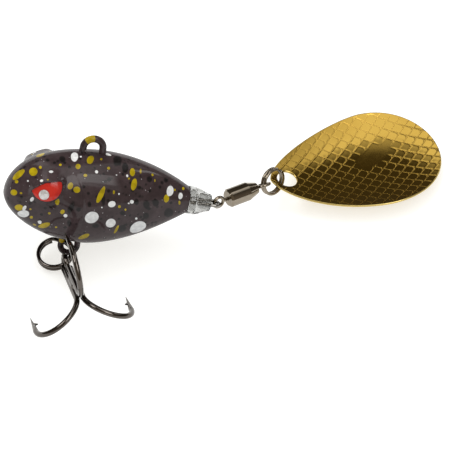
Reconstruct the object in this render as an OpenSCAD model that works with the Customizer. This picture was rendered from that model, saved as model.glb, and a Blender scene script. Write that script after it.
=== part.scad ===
// Tail spinner lure: a cast body with a wire line tie and hook hanger, a treble hook on a split ring,
// and a dished blade on a split ring and a rolling swivel behind the tail.
// The lure lies on a table as it would when put down: +X runs from nose to blade, +Z is up,
// and the origin is the centre of the line tie's eye.

/* [Body] */
// Length of the casting from nose to tail face
body_l = 30; // [26:0.5:36]
// Distance of the line tie behind the nose
tie_from_nose = 13.4; // [12:0.2:15]
// Height of the back above the body's axis
back_h = 8.1; // [7:0.1:9]
// Depth of the belly below the body's axis
belly_h = 7.6; // [7:0.1:9]
// Full width of the body
body_w = 11.6; // [10:0.2:14]
// Radius of the body at the tail face
tail_r = 2.1; // [1.9:0.05:2.6]
// How far the cheeks swell round the eyes
cheek_h = 1.0; // [0:0.1:1.4]
// Step at the edge of the gill cover
gill_h = 0.3; // [0:0.05:0.5]

/* [Eyes] */
// Length of the leaf-shaped eye
eye_l = 5.1; // [4:0.1:6]
// Depth of the eye's curved lower edge below its corners
eye_low_h = 2.5; // [1.4:0.05:2.6]
// Height of the eye's brow edge above its corners
eye_brow_h = 0.5; // [0.3:0.05:1.2]
// How far the eye's crown stands out of its socket
eye_crown = 0.75; // [0.4:0.05:1]
// Depth of the eye's socket
socket_d = 1.1; // [0.8:0.1:1.6]
// Slope of the brow
brow_slope = 26; // [0:1:35]

/* [Eye wire] */
// Diameter of the wire that makes the line tie and the hook hanger
wire_d = 1.0; // [0.8:0.05:1.1]
// Middle radius of the line tie's loop
tie_r = 1.7; // [1.4:0.05:2]
// Height of the line tie's centre above the back
tie_rise = 1.0; // [0.8:0.1:1.5]
// Distance of the hook hanger ahead of the line tie
hanger_lead = 1.5; // [1:0.1:3]
// Depth of the hanger's centre below the belly
hanger_drop = 1.35; // [1.2:0.05:2]

/* [Tail] */
// Rise of the body's axis from its crown to the tail face
tail_lift = 0.55; // [0:0.05:1]
// Droop of the tail's loop and sleeve below the body's axis
tail_droop = 6; // [0:1:10]
// Diameter of the tail loop's wire
tail_wire_d = 0.6; // [0.5:0.05:0.7]
// Length of the clear sleeve
sleeve_l = 3.8; // [3.2:0.1:5]
// Wall of the clear sleeve
sleeve_wall = 0.35; // [0.25:0.05:0.5]
// Outer radius of the sleeve's small end
sleeve_end_r = 1.45; // [1.4:0.05:1.8]
// How far the tail loop's bight stands out of the sleeve
bight_out = 1.9; // [1.7:0.1:2.4]

/* [Treble hook] */
// Diameter of the hook wire
hook_wire_d = 0.95; // [0.8:0.05:1.05]
// Distance from the hook's eye to the middle of its bends
shank_l = 12.2; // [10:0.1:16]
// Distance of each point from the shank's axis
hook_reach = 9.1; // [7:0.1:10]
// Length of the tapered point
point_l = 5; // [2:0.1:5.5]
// Height of the barb
barb_h = 0.65; // [0.3:0.05:0.7]
// Length of the brazed stretch of the shank
braze_l = 5.4; // [4:0.2:7]

/* [Split rings] */
// Outer diameter of the hook's split ring
hook_ring_d = 6.0; // [5.4:0.1:7]
// Wire of the hook's split ring
hook_ring_wire = 0.62; // [0.54:0.02:0.66]
// Outer diameter of the blade's split ring
blade_ring_d = 4.7; // [4.4:0.1:5.4]
// Wire of the blade's split ring
blade_ring_wire = 0.5; // [0.42:0.02:0.54]
// Gap between the two coils of a split ring
coil_gap = 0.05; // [0.03:0.01:0.1]
// Arc over which the wire steps from one coil to the other
crank_arc = 34; // [28:1:45]

/* [Swivel] */
// Outer diameter of the barrel
barrel_d = 3.1; // [2.8:0.1:3.4]
// Length of the barrel's straight part
barrel_l = 3.7; // [3.4:0.1:4.6]
// Length of the barrel's conical shoulder
shoulder_l = 1.8; // [1.4:0.1:2.4]
// Diameter of the small end of the shoulder
shoulder_d = 1.9; // [1.7:0.1:2.2]
// Diameter of the swivel's eye wire
swivel_wire_d = 0.55; // [0.5:0.05:0.6]
// Radial running clearance of the stems in the barrel
stem_clear = 0.05; // [0.03:0.01:0.08]

/* [Blade] */
// Length of the blade
blade_l = 28.8; // [25:0.2:32]
// Width of the blade
blade_w = 19.2; // [17:0.2:22]
// Place of the widest point, from the narrow end
blade_belly = 18; // [15:0.1:19]
// Thickness of the sheet
blade_t = 0.5; // [0.4:0.05:0.6]
// Radius of the dish across the blade
dish_across = 22; // [18:0.5:28]
// Radius of the dish along the blade
dish_along = 55; // [45:1:70]
// Diameter of the hole for the split ring
blade_hole_d = 3.2; // [2.9:0.1:3.6]
// Metal left between the hole and the narrow end
blade_web = 1.25; // [0.9:0.05:1.5]

/* [Pose on the table] */
// Lean, pitch and heading of the body
lure_turn = [-20.5, 10.5, 5]; // [-45:0.5:45]
// Roll, pitch and heading of the hook's split ring
hook_ring_turn = [2, -9.5, 33.5]; // [-45:0.5:45]
// Place of the hook's eye round its ring, from the hanger
treble_seat = -84; // [-110:1:-75]
// Roll, lift and skew of the treble across its ring
treble_turn = [-9.5, -29.5, 156.5]; // [-180:0.5:180]
// Roll, pitch and heading of the swivel
swivel_turn = [-14, 9, 33]; // [-45:0.5:45]
// Turn of the swivel's rear eye
rear_eye_turn = 60; // [0:1:180]
// Roll, pitch and heading of the blade's split ring
blade_ring_turn = [71.5, 16, 41.5]; // [-90:0.5:90]
// Place of the blade's ring in the hole, off the blade's middle line
ring_side = 40; // [0:1:45]
// Roll, pitch and heading of the blade
blade_turn = [1.5, 3, 18]; // [-45:0.5:45]

/* [Hidden] */

round_fn = 64;
wire_fn = 40;

// Turning and moving, as matrices, so that linked pieces find their places from each other
function turn_x(a) = [[1, 0, 0, 0], [0, cos(a), -sin(a), 0], [0, sin(a), cos(a), 0], [0, 0, 0, 1]];
function turn_y(a) = [[cos(a), 0, sin(a), 0], [0, 1, 0, 0], [-sin(a), 0, cos(a), 0], [0, 0, 0, 1]];
function turn_z(a) = [[cos(a), -sin(a), 0, 0], [sin(a), cos(a), 0, 0], [0, 0, 1, 0], [0, 0, 0, 1]];
function move(v) = [[1, 0, 0, v.x], [0, 1, 0, v.y], [0, 0, 1, v.z], [0, 0, 0, 1]];
function turn(v) = turn_z(v.z) * turn_y(v.y) * turn_x(v.x);
function place(m, p) = [for (i = [0:2]) m[i] * [p.x, p.y, p.z, 1]];
function direction(m, p) = [for (i = [0:2]) m[i] * [p.x, p.y, p.z, 0]];

// Body landmarks, in the body's own frame with the line tie's centre as origin
nose_x = -tie_from_nose;
tail_x = body_l - tie_from_nose;
axis_z = -(back_h + tie_rise);
belly_z = axis_z - belly_h;
eye_x = nose_x + 5.8;
eye_z = 4.3;
cheek_z = eye_z - 0.8;
eye_yaw = -16;
eye_tilt = 66;
eye_seat = 0.78;
stub_l = 1.2;
stub_root = 0.5;
stub_r = tail_r - sleeve_wall;

// Wire landmarks
hanger_play = 0.2;
hanger_r = hook_ring_wire + coil_gap / 2 + wire_d / 2 + hanger_play;
hanger_eye = [-hanger_lead, 0, belly_z - hanger_drop];
bight_r = 0.75;
tail_leg = 4;
bight_x = sleeve_l + bight_out - bight_r - tail_wire_d / 2;
tail_frame = move([tail_x, 0, axis_z + tail_lift]) * turn_y(tail_droop);
tail_eye = place(tail_frame, [bight_x, 0, 0]);

// Split ring landmarks
hook_ring_r = (hook_ring_d - hook_ring_wire) / 2;
blade_ring_r = (blade_ring_d - blade_ring_wire) / 2;
hook_ring_start = 67;
blade_ring_start = 75;

// Treble landmarks
treble_play = 0.18;
treble_eye_r = hook_ring_wire + coil_gap / 2 + hook_wire_d / 2 + treble_play;
shank_offset = hook_wire_d / 2 * 1.3;
bend_r = (hook_reach - shank_offset) / 2;
hook_angles = [94, 214, 334];

// Swivel landmarks, along its own axis from the middle of the tail loop's bight
front_play = 0.3;
front_eye_r = tail_wire_d / 2 + swivel_wire_d / 2 + front_play;
front_eye_x = bight_r;
neck_l = 0.65;
front_face_x = front_eye_x + front_eye_r + swivel_wire_d / 2 + neck_l;
barrel_end_x = front_face_x + barrel_l + shoulder_l;
rear_play = 0.2;
rear_eye_r = blade_ring_wire + coil_gap / 2 + swivel_wire_d / 2 + rear_play;
rear_neck_l = 0.15;
rear_eye_x = barrel_end_x + rear_eye_r + swivel_wire_d / 2 + rear_neck_l;

// Blade landmarks, from the narrow end and the bottom of the dish
seat_clear = 0.22;
hole_x = blade_web + blade_hole_d / 2;
seat_r = blade_hole_d / 2 - blade_ring_wire - coil_gap / 2 - seat_clear;
dish_x = blade_belly - 1.5;
function dish_z(x, y) = let (rho = dish_along - dish_across + sqrt(pow(dish_across, 2) - y * y))
    dish_along - sqrt(rho * rho - pow(x - dish_x, 2));
ring_seat_x = hole_x - seat_r * cos(ring_side);
ring_seat_y = seat_r * sin(ring_side);
ring_seat = [ring_seat_x, ring_seat_y, dish_z(ring_seat_x, ring_seat_y) + blade_t / 2];

// Poses of the rigid groups
lure_pose = turn(lure_turn);
hook_ring_pose = move(place(lure_pose, hanger_eye)) * turn(hook_ring_turn) * move([-hook_ring_r, 0, 0]);
treble_pose = hook_ring_pose * turn_z(treble_seat) * move([hook_ring_r, 0, 0]) * turn_z(180)
    * turn(treble_turn);
swivel_pose = move(place(lure_pose, tail_eye)) * turn(swivel_turn);
rear_eye_pose = swivel_pose * move([rear_eye_x, 0, 0]) * turn_x(rear_eye_turn);
blade_ring_pose = move(place(rear_eye_pose, [0, 0, 0])) * turn(blade_ring_turn) * move([blade_ring_r, 0, 0]);
blade_pose = move(place(blade_ring_pose, [blade_ring_r, 0, 0])) * turn(blade_turn) * move(-ring_seat);

// A closed solid through rings of points, with a point at each end
module loft(rings, first, last) {
    n = len(rings[0]);
    m = len(rings);
    points = concat([first], [for (r = rings) each r], [last]);
    function at(i, j) = 1 + i * n + j % n;
    faces = concat(
        [for (j = [0:n - 1]) [0, at(0, j + 1), at(0, j)]],
        [for (i = [0:m - 2]) for (j = [0:n - 1]) [at(i, j), at(i + 1, j + 1), at(i + 1, j)]],
        [for (i = [0:m - 2]) for (j = [0:n - 1]) [at(i, j), at(i, j + 1), at(i + 1, j + 1)]],
        [for (j = [0:n - 1]) [at(m - 1, j), at(m - 1, j + 1), m * n + 1]]);
    polyhedron(points, faces, convexity = 6);
}

// Straight wire between two points of the XZ plane
module wire_run(p, q, d) {
    v = q - p;
    translate([p.x, 0, p.y]) rotate([0, atan2(v.x, v.y), 0]) cylinder(h = norm(v), d = d, $fn = wire_fn);
}

// Bent wire in the XZ plane, from angle a to angle b round a centre
module wire_bend(c, r, a, b, d) {
    translate([c.x, 0, c.y]) rotate([90, 0, 0]) rotate([0, 0, a])
        rotate_extrude(angle = b - a, $fn = round_fn) translate([r, 0]) circle(d = d, $fn = wire_fn);
}

// Body: outline of the back, belly and flanks along its length
crown_x = 0.3;
body_rings = 44;
body_sides = 36;
section_power = 2.2;
function nose_curve(x, p) = let (u = (crown_x - x) / (crown_x - nose_x)) pow(max(0, 1 - pow(u, p)), 1 / p);
function aft(x) = max(0, x - crown_x) / (tail_x - crown_x);
function tail_curve(x, h, p) = tail_r + (h - tail_r) * (1 - pow(aft(x), p));
function body_half(x, h, p, q) = x < crown_x ? h * nose_curve(x, p) : tail_curve(x, h, q);
function spine(x) = axis_z + tail_lift * pow(aft(x), 1.5);
function bell(x, s) = exp(-pow(x / s, 2));
function cheek(x, z) = cheek_h * bell(x - eye_x, 3) * bell(z - cheek_z, 2.6);
gill_x = -1.2;
gill_ramp = 5;
function gill_line(z) = gill_x - 0.05 * z * z;
function gill(x, z) = let (s = x - gill_line(z)) s > 0 || s < -gill_ramp ? 0 : gill_h * (1 + s / gill_ramp) * bell(z, 6);
function power(c, p) = sign(c) * pow(abs(c), 2 / p);
function body_ring(x) = let (
    up = body_half(x, back_h, 2.15, 2),
    down = body_half(x, belly_h, 1.7, 1.75),
    side = body_half(x, body_w / 2, 2.3, 1.65))
    [for (j = [0:body_sides - 1]) let (
        a = -360 * j / body_sides,
        c = power(cos(a), section_power),
        z = power(sin(a), section_power) * (sin(a) > 0 ? up : down),
        out = (cheek(x, z) + gill(x, z)) * pow(abs(c), 0.6) * sign(c))
        [x + z * tan(tail_droop) * pow(aft(x), 3), side * c + out, spine(x) + z]];
front_rings = 24;
body_stations = concat(
    [for (i = [1:front_rings]) nose_x + (crown_x - nose_x) * (1 - cos(90 * i / front_rings))],
    [for (i = [1:body_rings - front_rings]) crown_x + (tail_x - crown_x) * i / (body_rings - front_rings)]);

module body_form() {
    loft([for (x = body_stations) body_ring(x)], [nose_x, 0, axis_z], [tail_x, 0, spine(tail_x)]);
    multmatrix(tail_frame * move([-stub_root, 0, 0])) rotate([0, 90, 0])
        cylinder(h = stub_l + stub_root, r = stub_r, $fn = round_fn);
}

// The one bent wire of line tie and hook hanger: it lies in the body's middle plane
wire_low = hanger_eye.z + 4.5;
jog_r = 3;
jog_shift = hanger_lead + hanger_r - tie_r;
jog_a = acos(1 - jog_shift / (2 * jog_r));
jog_h = 2 * jog_r * sin(jog_a);
module eye_wire_form() {
    front = -hanger_lead - hanger_r;
    rear = -hanger_lead + hanger_r;
    wire_bend([0, 0], tie_r, 0, 180, wire_d);
    wire_run([tie_r, -6], [tie_r, 0], wire_d);
    wire_run([-tie_r, wire_low + jog_h], [-tie_r, 0], wire_d);
    wire_bend([-tie_r - jog_r, wire_low + jog_h], jog_r, -jog_a, 0, wire_d);
    wire_bend([front + jog_r, wire_low], jog_r, 180 - jog_a, 180, wire_d);
    translate([(front - tie_r) / 2, 0, wire_low + jog_h / 2]) sphere(d = wire_d * 1.04, $fn = wire_fn);
    wire_run([front, hanger_eye.z], [front, wire_low], wire_d);
    wire_bend([-hanger_lead, hanger_eye.z], hanger_r, 180, 360, wire_d);
    wire_run([rear, hanger_eye.z], [rear, wire_low], wire_d);
}

// The tail loop lies across the body's middle plane, with both legs cast in
module tail_loop_form() {
    multmatrix(tail_frame) rotate([90, 0, 0]) {
        wire_bend([bight_x, 0], bight_r, -90, 90, tail_wire_d);
        for (s = [-1, 1])
            wire_run([-tail_leg, s * bight_r], [bight_x, s * bight_r], tail_wire_d);
    }
}

// Leaf outline of the eye, front corner at -X, brow upwards
function bow_r(h) = (pow(eye_l / 2, 2) + h * h) / (2 * h);
module eye_outline(clear) {
    rotate(brow_slope) intersection() {
        translate([0, eye_brow_h - bow_r(eye_brow_h)]) circle(bow_r(eye_brow_h) + clear, $fn = round_fn);
        translate([0, bow_r(eye_low_h) - eye_low_h]) circle(bow_r(eye_low_h) + clear, $fn = round_fn);
    }
}

// Places the left eye on its cheek, facing outwards and a little up and forwards
eye_seat_y = body_w / 2 * nose_curve(eye_x, 2.3) * eye_seat + cheek_h;
module on_left_cheek() {
    translate([eye_x, -eye_seat_y, axis_z + eye_z]) rotate([0, 0, eye_yaw]) rotate([eye_tilt, 0, 0]) children();
}

// Eye: a domed lens with straight walls, seated on the socket's floor
module eye_form() {
    dome_r = bow_r(eye_crown);
    intersection() {
        translate([0, 0, -socket_d]) linear_extrude(socket_d + eye_crown) eye_outline(0);
        translate([0, 0, eye_crown - dome_r]) sphere(dome_r, $fn = round_fn);
    }
}

module socket_form() {
    translate([0, 0, -socket_d]) linear_extrude(socket_d + 3) eye_outline(0.03);
}

module body_casting() {
    color("#403a3c") multmatrix(lure_pose) difference() {
        body_form();
        eye_wire_form();
        tail_loop_form();
        on_left_cheek() socket_form();
        mirror([0, 1, 0]) on_left_cheek() socket_form();
    }
}

module left_eye() {
    color("#c8342a") multmatrix(lure_pose) on_left_cheek() eye_form();
}

module right_eye() {
    color("#c8342a") multmatrix(lure_pose) mirror([0, 1, 0]) on_left_cheek() eye_form();
}

module eye_wire() {
    color("#4a4446") multmatrix(lure_pose) eye_wire_form();
}

module tail_loop() {
    color("#8c8c90") multmatrix(lure_pose) tail_loop_form();
}

// Clear sleeve: a bell that fits over the tail stub and closes in round the loop's legs
module tail_sleeve() {
    mouth_r = tail_r + 0.2;
    belly_l = sleeve_l * 0.45;
    sleeve_gap = 0.02;
    color("#d8dce0", 0.6) multmatrix(lure_pose * tail_frame) rotate([0, 90, 0]) difference() {
        rotate_extrude($fn = round_fn) polygon([[0, sleeve_gap], [mouth_r, sleeve_gap], [mouth_r, belly_l],
            [sleeve_end_r + 0.35, sleeve_l - 0.8], [sleeve_end_r, sleeve_l], [0, sleeve_l]]);
        translate([0, 0, -1]) cylinder(h = stub_l + 1.05, r = stub_r, $fn = round_fn);
        translate([0, 0, stub_l]) cylinder(h = sleeve_l, r = bight_r + tail_wire_d / 2 + 0.06, $fn = round_fn);
    }
}

// Split ring: two flat coils of round wire with one crank between them
ring_sides = 10;
ring_steps = 58;
ring_turns = 686;
crank_end = 360;
function ease(t) = let (u = min(1, max(0, t))) u * u * (3 - 2 * u);
function coil_rise(a, pitch) = pitch * (ease((a - crank_end + crank_arc) / crank_arc) - 0.5);
function coil_ring(a, r, d, pitch) = [for (j = [0:ring_sides - 1]) let (b = 360 * j / ring_sides)
    [(r + d / 2 * cos(b)) * cos(a), (r + d / 2 * cos(b)) * sin(a), coil_rise(a, pitch) + d / 2 * sin(b)]];
function coil_centre(a, r, pitch) = [r * cos(a), r * sin(a), coil_rise(a, pitch)];
module split_ring(r, d, start) {
    pitch = d + coil_gap;
    rotate([0, 0, start])
        loft([for (i = [0:ring_steps]) coil_ring(ring_turns * i / ring_steps, r, d, pitch)],
            coil_centre(0, r, pitch), coil_centre(ring_turns, r, pitch));
}

module hook_split_ring() {
    color("#4c4a48") multmatrix(hook_ring_pose) split_ring(hook_ring_r, hook_ring_wire, hook_ring_start);
}

// One hook of the treble, in the XZ plane: shank along +X, point towards +Z
module hook_form(start) {
    r = hook_wire_d / 2;
    tip_x = shank_l - 0.2;
    barb_x = tip_x - point_l * 0.42;
    wire_run([start, shank_offset], [shank_l, shank_offset], hook_wire_d);
    wire_bend([shank_l, shank_offset + bend_r], bend_r, -90, 90, hook_wire_d);
    translate([shank_l, 0, hook_reach]) rotate([0, -90, 0])
        cylinder(h = point_l, r1 = r, r2 = 0.04, $fn = wire_fn);
    translate([barb_x, 0, hook_reach - r * 0.35]) rotate([90, 0, 0]) linear_extrude(0.24, center = true)
        polygon([[-0.5, 0], [0.75, -barb_h], [0.35, 0.1]]);
}

module place_hook(i) {
    rotate([hook_angles[i] - 90, 0, 0]) children();
}

// Double hook: two bends and the eye, made from one wire
module treble_double_hook() {
    color("#3c3a3a") multmatrix(treble_pose) {
        rotate([90, 0, 0]) rotate_extrude($fn = round_fn) translate([treble_eye_r, 0])
            circle(d = hook_wire_d, $fn = wire_fn);
        for (i = [1, 2])
            place_hook(i) hook_form(treble_eye_r);
    }
}

module treble_single_hook() {
    color("#3c3a3a") multmatrix(treble_pose) place_hook(0) hook_form(treble_eye_r + hook_wire_d);
}

// Braze: the spindle of filler that holds the single hook to the double one
module treble_braze() {
    braze_r = shank_offset + hook_wire_d * 0.18;
    braze_x = shank_l - braze_l - 2.2;
    color("#6e6c6a") multmatrix(treble_pose) difference() {
        translate([braze_x, 0, 0]) rotate([0, 90, 0]) rotate_extrude($fn = round_fn)
            polygon([[0, 0], [braze_r * 0.5, 0], [braze_r, braze_l * 0.3], [braze_r, braze_l * 0.8],
                [braze_r * 0.6, braze_l], [0, braze_l]]);
        for (i = [0:2])
            place_hook(i) wire_run([0, shank_offset], [shank_l, shank_offset], hook_wire_d);
    }
}

// Swivel eye: a loop with a stem and a head, stem along +X from the loop's centre
module swivel_eye(loop_r, stem_l, head_r) {
    r = swivel_wire_d / 2;
    rotate([90, 0, 0]) rotate_extrude($fn = round_fn) translate([loop_r, 0]) circle(r, $fn = wire_fn);
    translate([loop_r, 0, 0]) rotate([0, 90, 0]) cylinder(h = stem_l, r = r, $fn = wire_fn);
    translate([loop_r + stem_l, 0, 0]) rotate([0, 90, 0]) cylinder(h = 0.6, r = head_r, $fn = wire_fn);
}

barrel_wall = 0.45;
head_r = 0.85;
head_gap = 0.08;
module swivel_front_eye() {
    stem = front_face_x - front_eye_x - front_eye_r + barrel_wall + head_gap;
    color("#b8b6b0") multmatrix(swivel_pose * move([front_eye_x, 0, 0])) swivel_eye(front_eye_r, stem, head_r);
}

module swivel_rear_eye() {
    stem = rear_eye_x - rear_eye_r - barrel_end_x + barrel_wall + head_gap;
    color("#b8b6b0") multmatrix(rear_eye_pose) rotate([0, 0, 180]) {
        swivel_eye(rear_eye_r, stem, shoulder_d / 2 - 0.45);
    }
}

// Barrel: a turned shell with a flat front, a bevelled rim and a conical rear shoulder
module swivel_barrel() {
    r = barrel_d / 2;
    bevel = 0.3;
    total = barrel_l + shoulder_l;
    bore_r = swivel_wire_d / 2 + stem_clear;
    inside_r = r - 0.3;
    neck_r = shoulder_d / 2 - 0.3;
    color("#c4c0b8") multmatrix(swivel_pose * move([front_face_x, 0, 0])) rotate([0, 90, 0]) difference() {
        rotate_extrude($fn = round_fn) polygon([[0, 0], [r - bevel, 0], [r, bevel], [r, barrel_l],
            [shoulder_d / 2, total], [0, total]]);
        rotate_extrude($fn = round_fn) polygon([[0, barrel_wall], [inside_r, barrel_wall], [inside_r, barrel_l - 0.2],
            [neck_r, total - barrel_wall], [0, total - barrel_wall]]);
        translate([0, 0, -1]) cylinder(h = total + 2, r = bore_r, $fn = wire_fn);
    }
}

module blade_split_ring() {
    color("#c0bcb4") multmatrix(blade_ring_pose) split_ring(blade_ring_r, blade_ring_wire, blade_ring_start);
}

// Blade: an egg outline cut from a dished sheet, hollow side up
blade_steps = 40;
dish_reach = 9;
function blade_half(x) = let (front = x < blade_belly, u = front ? 1 - x / blade_belly
    : (x - blade_belly) / (blade_l - blade_belly))
    blade_w / 2 * (front ? pow(1 - pow(u, 1.6), 0.67) : pow(1 - pow(u, 2.05), 0.5));
function blade_at(i) = blade_l / 2 * (1 - cos(180 * i / blade_steps));
module blade_outline() {
    polygon(concat(
        [for (i = [0:blade_steps]) [blade_at(i), blade_half(blade_at(i))]],
        [for (i = [1:blade_steps - 1]) [blade_at(blade_steps - i), -blade_half(blade_at(blade_steps - i))]]));
}

module dish(depth, reach) {
    throat = dish_along - dish_across;
    rotate([90, 0, 0]) rotate([0, 0, -90 - 40]) rotate_extrude(angle = 80, $fn = 128) intersection() {
        translate([throat, 0]) circle(dish_across - depth, $fn = 128);
        translate([dish_along - reach, -dish_across]) square([2 * reach, 2 * dish_across]);
    }
}

module blade() {
    color("#c8a23c") multmatrix(blade_pose) difference() {
        intersection() {
            translate([0, 0, -1]) linear_extrude(dish_reach - 1) blade_outline();
            translate([dish_x, 0, dish_along]) dish(0, dish_reach);
        }
        translate([dish_x, 0, dish_along]) dish(blade_t, dish_reach + 2);
        translate([hole_x, 0, -1]) cylinder(h = dish_reach, d = blade_hole_d, $fn = round_fn);
    }
}

body_casting();
left_eye();
right_eye();
eye_wire();
tail_loop();
tail_sleeve();
hook_split_ring();
treble_double_hook();
treble_single_hook();
treble_braze();
swivel_front_eye();
swivel_barrel();
swivel_rear_eye();
blade_split_ring();
blade();
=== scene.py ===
import math

import bmesh
import bpy
import numpy as np
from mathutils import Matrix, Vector


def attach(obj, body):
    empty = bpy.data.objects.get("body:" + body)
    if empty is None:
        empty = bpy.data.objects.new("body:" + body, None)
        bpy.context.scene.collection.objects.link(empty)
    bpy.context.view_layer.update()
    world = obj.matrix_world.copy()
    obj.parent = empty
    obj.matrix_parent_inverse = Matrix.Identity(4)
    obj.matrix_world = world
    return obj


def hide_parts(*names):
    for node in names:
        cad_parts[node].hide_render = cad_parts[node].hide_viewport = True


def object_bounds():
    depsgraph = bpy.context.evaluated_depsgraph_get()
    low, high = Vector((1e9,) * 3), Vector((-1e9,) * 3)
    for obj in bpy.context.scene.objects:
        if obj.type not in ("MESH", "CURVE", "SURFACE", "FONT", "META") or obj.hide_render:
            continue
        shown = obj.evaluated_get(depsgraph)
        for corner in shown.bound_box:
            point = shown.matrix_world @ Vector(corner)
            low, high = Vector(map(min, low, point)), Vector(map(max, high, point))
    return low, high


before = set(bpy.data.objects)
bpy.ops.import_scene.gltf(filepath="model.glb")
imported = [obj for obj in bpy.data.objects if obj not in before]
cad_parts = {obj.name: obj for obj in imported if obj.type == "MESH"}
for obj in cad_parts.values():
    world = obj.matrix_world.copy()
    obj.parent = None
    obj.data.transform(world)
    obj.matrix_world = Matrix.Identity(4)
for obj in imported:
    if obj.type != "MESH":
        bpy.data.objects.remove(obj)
cad_low, cad_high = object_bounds()
MM = 0.001


# Turning and moving, with the same rules as the part's source
def turn_x(a):
    c, s = math.cos(math.radians(a)), math.sin(math.radians(a))
    return np.array([[1, 0, 0, 0], [0, c, -s, 0], [0, s, c, 0], [0, 0, 0, 1.0]])


def turn_y(a):
    c, s = math.cos(math.radians(a)), math.sin(math.radians(a))
    return np.array([[c, 0, s, 0], [0, 1, 0, 0], [-s, 0, c, 0], [0, 0, 0, 1.0]])


def turn_z(a):
    c, s = math.cos(math.radians(a)), math.sin(math.radians(a))
    return np.array([[c, -s, 0, 0], [s, c, 0, 0], [0, 0, 1, 0], [0, 0, 0, 1.0]])


def move(v):
    m = np.eye(4)
    m[:3, 3] = v
    return m


def turn(v):
    return turn_z(v[2]) @ turn_y(v[1]) @ turn_x(v[0])


def place(m, p):
    p = np.asarray(p, float)
    return p @ m[:3, :3].T + m[:3, 3]


# Sizes of the part as in its source, in millimetres and degrees
NOSE_X, TAIL_X, CROWN_X, AXIS_Z = -13.4, 16.6, 0.3, -9.1
BACK_H, BELLY_H, HALF_W, TAIL_R = 8.1, 7.6, 5.8, 2.1
TAIL_LIFT, TAIL_DROOP = 0.55, 6
CHEEK_H, EYE_X, EYE_Z, CHEEK_Z = 1.0, -7.6, 4.3, 3.5
BACK_CURVE, BELLY_CURVE, SIDE_CURVE = (2.15, 2), (1.7, 1.75), (2.3, 1.65)
SECTION_POWER, CHEEK_REACH, CHEEK_SPREAD = 2.2, 3, 2.6
EYE_L, EYE_LOW, EYE_BROW, BROW_SLOPE, EYE_CROWN = 5.1, 2.5, 0.5, 26, 0.75
HOOK_RING_R, HOOK_RING_WIRE, HOOK_RING_START = 2.69, 0.62, 67
BLADE_RING_R, BLADE_RING_WIRE, BLADE_RING_START = 2.1, 0.5, 75
COIL_GAP, CRANK_ARC, COIL_SWEEP = 0.05, 34, 686
BLADE_L, BLADE_W, BLADE_BELLY, BLADE_T = 28.8, 19.2, 18.0, 0.5
DISH_ACROSS, DISH_ALONG, DISH_LEAD, HOLE_D, WEB = 22, 55, 1.5, 3.2, 1.25
RING_SIDE, SEAT_CLEAR = 40, 0.22
HANGER_LEAD, HANGER_DROP, HANGER_PLAY = 1.5, 1.35, 0.2
TAIL_LOOP_X, BIGHT_R = 4.65, 0.75
FRONT_EYE_R, SWIVEL_WIRE_R, NECK_L = 0.875, 0.275, 0.65
BARREL_L, SHOULDER_L, REAR_EYE_R, REAR_NECK_L = 3.7, 1.8, 1.0, 0.15
HANGER = np.array([-HANGER_LEAD, 0, AXIS_Z - BELLY_H - HANGER_DROP])

# Where each piece lies: the body, the tail, the hook's ring, the swivel, the blade's ring and the blade
LURE = turn([-20.5, 10.5, 5])
TAIL = LURE @ move([TAIL_X, 0, AXIS_Z + TAIL_LIFT]) @ turn_y(TAIL_DROOP)
HOOK_RING = move(place(LURE, HANGER)) @ turn([2, -9.5, 33.5]) @ move([-HOOK_RING_R, 0, 0])
TAIL_EYE = place(TAIL, [TAIL_LOOP_X, 0, 0])
SWIVEL = move(TAIL_EYE) @ turn([-14, 9, 33])
REAR_EYE_X = (BIGHT_R + FRONT_EYE_R + SWIVEL_WIRE_R + NECK_L + BARREL_L + SHOULDER_L
              + REAR_EYE_R + SWIVEL_WIRE_R + REAR_NECK_L)
REAR_EYE = SWIVEL @ move([REAR_EYE_X, 0, 0])
BLADE_RING = move(place(REAR_EYE, [0, 0, 0])) @ turn([71.5, 16, 41.5]) @ move([BLADE_RING_R, 0, 0])
DISH_X = BLADE_BELLY - DISH_LEAD
HOLE_X = WEB + HOLE_D / 2


def dish_z(x, y):
    """Height of the dished sheet, bowed along and across."""
    rho = DISH_ALONG - DISH_ACROSS + np.sqrt(DISH_ACROSS ** 2 - y * y)
    return DISH_ALONG - np.sqrt(rho * rho - (x - DISH_X) ** 2)


SEAT_R = HOLE_D / 2 - BLADE_RING_WIRE - COIL_GAP / 2 - SEAT_CLEAR
SEAT_X = HOLE_X - SEAT_R * math.cos(math.radians(RING_SIDE))
SEAT_Y = SEAT_R * math.sin(math.radians(RING_SIDE))
SEAT = np.array([SEAT_X, SEAT_Y, dish_z(SEAT_X, SEAT_Y) + BLADE_T / 2])
BLADE = move(place(BLADE_RING, [BLADE_RING_R, 0, 0])) @ turn([1.5, 3, 18]) @ move(-SEAT)


# Body form; the gill cover's edge is softer than in the source
GILL_X, GILL_BEND, GILL_H, GILL_EDGE, GILL_RUN = -1.2, 0.05, 0.24, 0.3, 5
GILL_Z, GILL_SPREAD = 1.2, 4.2


def aft(x):
    """How far along from the crown to the tail face, 0 to 1."""
    return np.maximum(0, x - CROWN_X) / (TAIL_X - CROWN_X)


def body_half(x, h, p, q):
    """Half height or width at x: h at the crown, rounded to the nose by p and drawn to the tail by q."""
    u = np.clip((CROWN_X - x) / (CROWN_X - NOSE_X), 0, 1)
    fore = h * np.maximum(0, 1 - u ** p) ** (1 / p)
    return np.where(x < CROWN_X, fore, TAIL_R + (h - TAIL_R) * (1 - aft(x) ** q))


def power(c):
    return np.sign(c) * np.abs(c) ** (2 / SECTION_POWER)


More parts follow.
